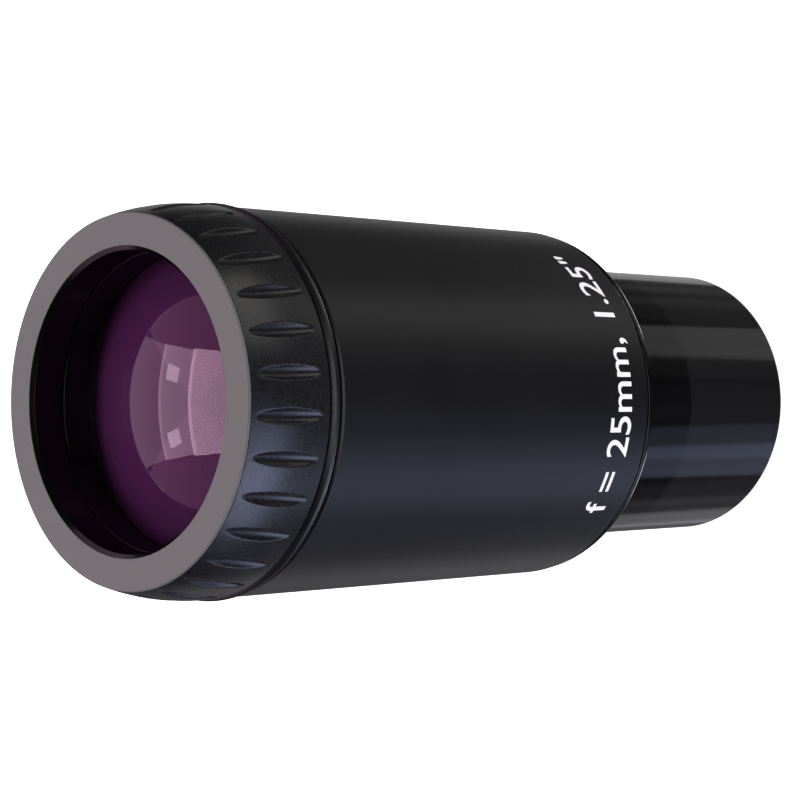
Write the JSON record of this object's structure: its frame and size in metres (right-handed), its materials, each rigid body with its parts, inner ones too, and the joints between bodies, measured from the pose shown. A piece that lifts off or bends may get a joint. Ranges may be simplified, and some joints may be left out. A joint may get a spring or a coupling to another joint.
{
  "type": "telescope eyepiece",
  "caption": "Black push-fit telescope eyepiece: coated lens doublets in a cell, straight body, polished nosepiece and a notched eyecup that twists up.",
  "frame": {"origin": "the point on the optical axis in the plane of the nosepiece's open end, on which the eyepiece stands", "axes": "+Z along the optical axis, from the nosepiece towards the eye; +X and +Y across it"},
  "size_m": [0.0402, 0.0402, 0.0893],
  "materials": {
    "satin_black": "satin black anodised",
    "gloss_black": "polished black lacquer",
    "matt_black": "matt black anodised",
    "coated_glass": "polished, purple anti-reflection coating",
    "flint_glass": "polished",
    "grip_polymer": "satin moulded, notched",
    "grey_face": "fine matt",
    "nitrile": "matt",
    "steel": "turned"
  },
  "bodies": {
    "barrel": {"nosepiece": "gloss_black", "rear_ring": "gloss_black", "field_stop_ring": "matt_black", "body_shell": "satin_black", "collar_ring": "satin_black", "lens_cell": "matt_black", "eye_lens_ring": "gloss_black", "eye_crown_lens": "coated_glass", "eye_flint_lens": "flint_glass", "lens_spacer": "matt_black", "field_flint_lens": "flint_glass", "field_crown_lens": "coated_glass", "lens_retaining_ring": "matt_black"},
    "friction_ring": {"friction_o_ring": "nitrile"},
    "eyecup": {"eyecup_sleeve": "gloss_black", "eyecup_grip_ring": "grip_polymer", "eyecup_face_ring": "grey_face", "guide_screw_1": "steel", "guide_screw_2": "steel", "guide_screw_3": "steel"}
  },
  "joints": [
    {"name": "eyecup_lift", "type": "slide", "parent": "barrel", "child": "friction_ring", "axis": [0, 0, 1], "range_m": [0, 0.008]},
    {"name": "eyecup_twist", "type": "hinge", "parent": "friction_ring", "child": "eyecup", "pos_m": [0, 0, 0.061], "axis": [0, 0, 1], "range_deg": [0, 100]}
  ],
  "couplings": [
    {"joint": "eyecup_twist", "follows": "eyecup_lift", "rad_per_m": 218.17}
  ]
}
